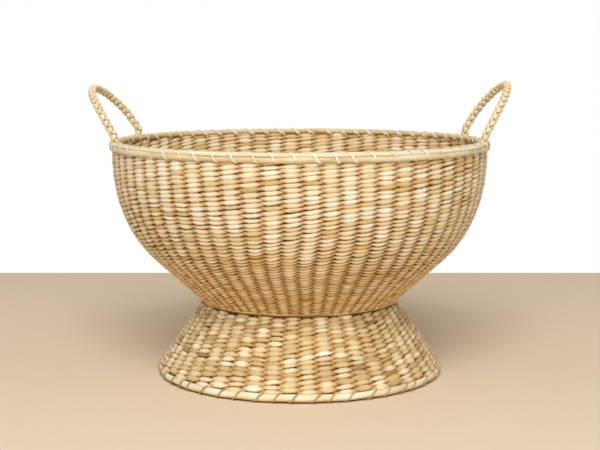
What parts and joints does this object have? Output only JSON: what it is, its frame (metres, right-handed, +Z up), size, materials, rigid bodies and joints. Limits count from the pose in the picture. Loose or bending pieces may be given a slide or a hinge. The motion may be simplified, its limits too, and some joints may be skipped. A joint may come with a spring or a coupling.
{
  "type": "woven pedestal bowl",
  "caption": "Deep round basketry bowl on a flared hollow woven foot, with a lashed rim, a bound hem and arched plaited handles, for holding fruit or bread.",
  "frame": {"origin": "on the floor under the middle of the foot", "axes": "+Z up, +X through the handles, the pictured front faces -Y"},
  "size_m": [0.4222, 0.381, 0.2932],
  "materials": {
    "bowl_rush": "dry plaited rush, matt with a faint sheen",
    "foot_rush": "dry plaited rush, matt with a faint sheen",
    "band_rush": "bundled rush strand, matt",
    "pale_strip": "split rush strip, satin",
    "stake_cane": "split cane, bare",
    "brown_thread": "twisted bast thread, matt",
    "wire_steel": "annealed wire"
  },
  "bodies": {
    "root": {"bowl_weft": "bowl_rush", "bowl_stakes": "stake_cane", "rim_outer_band": "band_rush", "rim_inner_band": "band_rush", "rim_crown": "band_rush", "rim_lashing": "pale_strip", "foot_weft": "foot_rush", "foot_stakes": "stake_cane", "hem_band": "band_rush", "hem_lashing": "brown_thread", "seam_tie_01": "bowl_rush", "seam_tie_02": "bowl_rush", "seam_tie_03": "bowl_rush", "seam_tie_04": "bowl_rush", "seam_tie_05": "bowl_rush", "seam_tie_06": "bowl_rush", "seam_tie_07": "bowl_rush", "seam_tie_08": "bowl_rush", "left_handle_wire": "wire_steel", "left_handle_plait": "pale_strip", "right_handle_wire": "wire_steel", "right_handle_plait": "pale_strip"}
  },
  "joints": []
}
